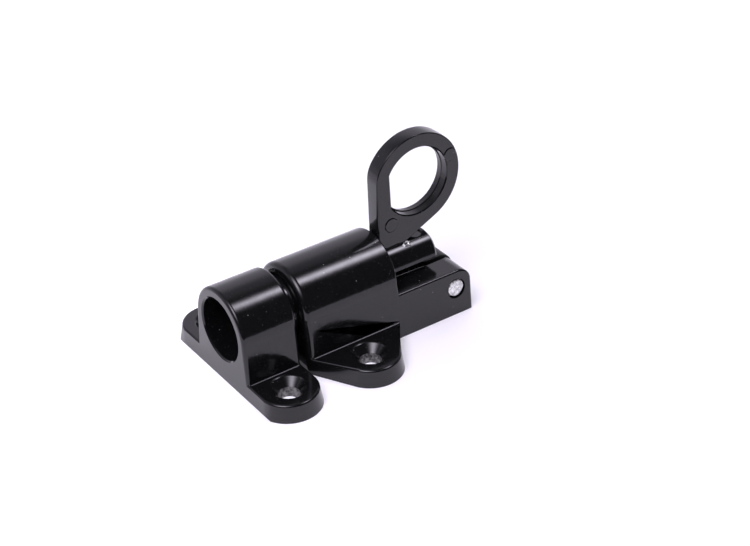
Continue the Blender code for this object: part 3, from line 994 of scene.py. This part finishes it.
spring = grow_from_nodes(
    "spring_wound",
    spring_tree(),
    {
        "Wire radius": 0.3 * MM,
        "Coil radius": 1.9 * MM,
        "Turns": 15.0,
        "Closed turns": 1.25,
        "Length": spring_high[0] - spring_low[0],
        "Front": (spring_low[0], 0.0, SPRING_AXIS),
        "Wire finish": WIRE,
    },
)
outward(spring)
report(spring)

# %% [markdown]
# ## Where the foot was staked
# Along both sides of the foot the metal was punched over and the paint broke up into a rough black
# line. It follows a path, so Geometry Nodes sweep a small bead along it: the path is sampled
# finely, each sample is pushed off it and thickened by noise, and the result closes the seam
# between ring and bolt. One input sets how ragged it is.


# %% The seam's tree
def seam_tree():
    inputs = [
        ("Bead radius", "Float"),
        ("Raggedness", "Float"),
        ("Samples", "Int"),
        ("Seed", "Float"),
        ("Bead finish", "Material"),
    ]
    tree, given, result = node_tree("ragged_seam", inputs)
    path = put(tree, "GeometryNodeMeshToCurve", Mesh=given["Geometry"])
    fine = put(tree, "GeometryNodeResampleCurve", Curve=path.outputs["Curve"], Count=given["Samples"])
    lump = put(tree, "ShaderNodeTexNoise", Scale=1900.0, Detail=2.0)
    lump.noise_dimensions = "4D"
    feed(lump, W=given["Seed"])
    centred = worked(tree, "SUBTRACT", [lump.outputs["Color"], (0.5, 0.5, 0.5)])
    pushed = worked(tree, "SCALE", [centred.outputs[0]])
    feed(pushed, Scale=given["Raggedness"])
    shaken = put(tree, "GeometryNodeSetPosition", Geometry=fine.outputs["Curve"], Offset=pushed.outputs[0])
    width = calculate(tree, "MULTIPLY_ADD", lump.outputs["Fac"], 1.6, 0.2)
    size = calculate(tree, "MULTIPLY", width, given["Bead radius"])
    profile = put(tree, "GeometryNodeCurvePrimitiveCircle", Resolution=8, Radius=1.0)
    sweep(tree, result, profile, given["Bead finish"], Curve=shaken.outputs["Geometry"], Scale=size)
    return tree


# %% Seam
def seam_path():
    """Two lines along the foot, one on each side, lying on the round of the tail."""
    mesh = bpy.data.meshes.new("seam_path")
    points, edges = [], []
    for side in (-1, 1):
        first = len(points)
        y = side * (RING_HALF + 0.10 * MM)
        z = AXIS + math.sqrt(TAIL_RADIUS**2 - y**2) + 0.02 * MM
        for step in range(12):
            points.append((RING_FRONT + 0.4 * MM + (6.6 * MM) * step / 11, y, z))
        edges += [(first + step, first + step + 1) for step in range(11)]
    mesh.from_pydata(points, edges, [])
    return mesh


seam = grow_from_nodes(
    "foot_seam",
    seam_tree(),
    {"Bead radius": 0.30 * MM, "Raggedness": 0.50 * MM, "Samples": 70, "Seed": 4.0, "Bead finish": BROKEN},
    seam_path(),
)
outward(seam)
report(seam)

# %% [markdown]
# The punch itself left one deep mark beside the foot, with bright torn metal round a dark pit. It
# is a small piece of its own: a round patch whose height follows a rule, with a pit in the middle,
# a rim, and an outline that noise makes uneven.


# %% Stake mark
def make_stake_mark(centre_x, centre_y, radius):
    shape = bmesh.new()
    rings, spokes = 9, 40
    rows = []
    for ring in range(1, rings + 1):
        row = []
        share = ring / rings
        for spoke in range(spokes):
            angle = 2 * math.pi * spoke / spokes
            wobble = 1 + 0.5 * noise.noise(Vector((math.cos(angle) * 1.9, math.sin(angle) * 1.9, 3.1)))
            reach = radius * share * wobble
            x = centre_x + reach * math.cos(angle) * 1.15
            y = centre_y + reach * math.sin(angle) * 0.8
            z = AXIS + math.sqrt(max(0, TAIL_RADIUS**2 - y * y))
            lift = 0.16 * math.exp(-(((share - 0.62) / 0.22) ** 2)) - 0.10 * math.exp(-((share / 0.3) ** 2))
            lift += 0.16 * noise.noise(Vector((x, y, 0)) * 2300)
            lift *= 1 if share < 0.99 else 0
            row.append(shape.verts.new((x, y, z + (lift - 0.02) * MM)))
        rows.append(row)
    middle_z = AXIS + math.sqrt(TAIL_RADIUS**2 - centre_y**2)
    middle = shape.verts.new((centre_x, centre_y, middle_z - 0.1 * MM))
    under = shape.verts.new((centre_x, centre_y, middle_z - 0.5 * MM))
    for i in range(spokes):
        j = (i + 1) % spokes
        shape.faces.new((middle, rows[0][i], rows[0][j]))
        for row, following in zip(rows, rows[1:]):
            shape.faces.new((row[i], following[i], following[j], row[j]))
        shape.faces.new((rows[-1][i], under, rows[-1][j]))
    bmesh.ops.recalc_face_normals(shape, faces=shape.faces)
    mesh = bpy.data.meshes.new("stake_mark")
    shape.to_mesh(mesh)
    shape.free()
    return new_object("stake_mark", mesh)


stake_mark = make_stake_mark(20.5 * MM, -2.35 * MM, 1.05 * MM)
report(stake_mark)

# %% [markdown]
# ## Finish and frame
# Each piece gets its finish, smooth shading that keeps the flat faces flat, and then its place in
# the mechanism: the plain piece that it stands for is hidden, and it rides on a body.

# %% Dress the pieces
for piece, finish in (
    (keeper, PAINT),
    (housing, PAINT),
    (bolt, PAINT),
    (ring, PAINT),
    (stop, DULL),
    (pin, TURNED),
    (stake_mark, TORN),
):
    piece.data.materials.clear()
    piece.data.materials.append(finish)
bare_holes(keeper, KEEPER_HOLES)
bare_holes(housing, EAR_HOLES)
for piece in (keeper, housing, bolt, ring, stop, pin):
    smooth(piece)
stake_mark.data.shade_smooth()

# %% Ride
for piece, node, body, finish_slot in (
    (keeper, "keeper", "keeper", "black_coating"),
    (housing, "housing", "housing", "black_coating"),
    (bolt, "bolt", "bolt", "black_coating"),
    (ring, "pull_ring", "bolt", "black_coating"),
    (pin, "cross_pin", "housing", "bare_aluminium"),
    (stop, "spring_stop", "housing", "black_coating"),
    (spring, "spring", "housing", "spring_steel"),
):
    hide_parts(node)
    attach(piece, body)
for piece, finish_slot in ((seam, "black_coating"), (stake_mark, "bare_aluminium")):
    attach(piece, "bolt")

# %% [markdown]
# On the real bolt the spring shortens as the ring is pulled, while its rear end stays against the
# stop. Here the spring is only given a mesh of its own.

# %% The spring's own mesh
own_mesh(spring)

# %% [markdown]
# ## The table and the light
# The bolt stands on a round white table in a plain white studio. Black gloss shows nothing but what
# stands round it, so the surroundings are made with care: white behind, dark towards the viewer,
# and two soft lamps that are part of the surroundings. The one overhead draws the bright line along
# the arches and the tail, and the one to the left lights the round edges of the flanges. The table
# glows near the castings and less further out, a painted pool of light that keeps shadows faint. A
# wide soft fill that the gloss doesn't mirror lights it from above.

# %% Table
def make_table():
    mesh = bpy.data.meshes.new("table")
    rim = circle((0, 0), 115 * MM)
    mesh.from_pydata([(x, y, -0.03 * MM) for x, y in rim], [], [list(range(len(rim)))])
    piece = new_object("table", mesh)
    finish, tree, shader, where = material("table_white")
    cloud = waves(tree, where, 14, 2)
    tone = between(tree, cloud, (0.865, 0.85, 0.885), (0.88, 0.865, 0.90))
    feed(shader, Base_Color=tone, Roughness=0.9, Specular_IOR_Level=0.15)
    # painted light: the table's emission is strongest near the castings and fades outwards, a painted pool
    # of light that keeps shadows faint
    away = worked(tree, "DISTANCE", [where, (-26 * MM, 18 * MM, 0)])
    glow = spread(tree, away.outputs["Value"], 18 * MM, 62 * MM, 0.42, 0.06)
    feed(shader, Emission_Color=(1.0, 0.96, 1.08, 1), Emission_Strength=glow)
    mesh.materials.append(finish)
    return piece


make_table()

# %% Surroundings
# Each soft lamp: where it stands, how narrow it is, and how bright its middle is.
SOFT_LAMPS = (
    ((0.47, -0.205, 0.86), 125.0, 12.0),
    ((-0.50, -0.27, 0.81), 24.0, 8.0),
)
PLAIN_WHITE = 1.2  # what the camera sees beyond the table


def surroundings():
    world = bpy.data.worlds.new("studio")
    bpy.context.scene.world = world
    world.use_nodes = True
    tree = world.node_tree
    back = tree.nodes["Background"]
    direction = tree.nodes.new("ShaderNodeTexCoord").outputs["Generated"]
    parts = tree.nodes.new("ShaderNodeSeparateXYZ")
    plug(parts.inputs[0], direction)
    behind = spread(tree, parts.outputs["Y"], 0.0, 0.42)
    higher = spread(tree, parts.outputs["Z"], 0.10, 0.27, 1.0, 0.76)
    overhead = calculate(tree, "MULTIPLY", higher, spread(tree, parts.outputs["Z"], 0.55, 0.80, 1.0, 0.40))
    left = spread(tree, parts.outputs["X"], -0.25, 0.25, 0.62, 1.0)
    below = spread(tree, parts.outputs["Z"], -0.10, 0.0, 1.0, 0.0)
    wall = calculate(tree, "MULTIPLY", calculate(tree, "MULTIPLY", behind, overhead), left)
    wall = calculate(tree, "ADD", calculate(tree, "MULTIPLY", wall, 1.08), 0.04)
    beyond = calculate(tree, "MULTIPLY", below, spread(tree, parts.outputs["Y"], -0.35, 0.1, 0.08, 1.1))
    light = calculate(tree, "MAXIMUM", wall, beyond)
    for toward, narrow, radiance in SOFT_LAMPS:
        facing = worked(tree, "DOT_PRODUCT", [direction, Vector(toward).normalized()])
        ahead = calculate(tree, "MAXIMUM", facing.outputs["Value"], 0.0)
        glow = calculate(tree, "MULTIPLY", calculate(tree, "POWER", ahead, narrow), radiance)
        light = calculate(tree, "ADD", light, glow)
    seen = tree.nodes.new("ShaderNodeLightPath").outputs["Is Camera Ray"]
    strength = put(tree, "ShaderNodeMix", Factor=seen)
    plug(strength.inputs[2], light)
    plug(strength.inputs[3], PLAIN_WHITE)
    feed(back, Strength=strength.outputs[0], Color=(1.02, 0.97, 1.12, 1))


surroundings()

# %% Fill
fill = bpy.data.lights.new("table_fill", "SUN")
fill.energy = 1.15
fill.angle = math.radians(80)
fill_lamp = new_object("table_fill", fill)
fill_lamp.location = (0.1, 0.2, 1.0)
fill_lamp.rotation_euler = (-fill_lamp.location).to_track_quat("-Z", "Y").to_euler()
fill_lamp.visible_glossy = False
print("lamps:", len(SOFT_LAMPS), "in the surroundings, and", fill_lamp.name)

# %% [markdown]
# ## The camera
# A long lens stands to the left and above, so that the two castings, the ring and the gap between
# them are all seen. The camera is placed by its direction, its distance and the point it looks at,
# with a very small roll, and its picture colours are left as they are mixed.

# %% Camera
def make_camera():
    turn, rise, roll = (math.radians(angle) for angle in (-34.359, 32.984, -1.664))
    distance = 403.5 * MM
    back = Vector((math.sin(turn) * math.cos(rise), -math.cos(turn) * math.cos(rise), math.sin(rise)))
    right = Vector((math.cos(turn), math.sin(turn), 0))
    up = back.cross(right)
    across = right * math.cos(roll) + up * math.sin(roll)
    upward = up * math.cos(roll) - right * math.sin(roll)
    target = Vector((-3.85 * MM, 0, 8 * MM)) + across * 13.803 * MM + upward * 8.889 * MM
    place = target + back * distance
    data = bpy.data.cameras.new("camera")
    data.sensor_fit = "HORIZONTAL"
    data.sensor_width = 36
    data.lens = 84.55
    data.clip_start = 0.01
    thing = new_object("camera", data)
    turned = Matrix((across, upward, back)).transposed().to_4x4()
    thing.matrix_world = Matrix.Translation(place) @ turned
    bpy.context.scene.camera = thing
    return thing


camera = make_camera()
view = bpy.context.scene.view_settings
view.view_transform = "Standard"
view.look = "None"
view.exposure = 0.0
view.gamma = 1.0
print("camera at", [round(value, 4) for value in camera.matrix_world.translation])
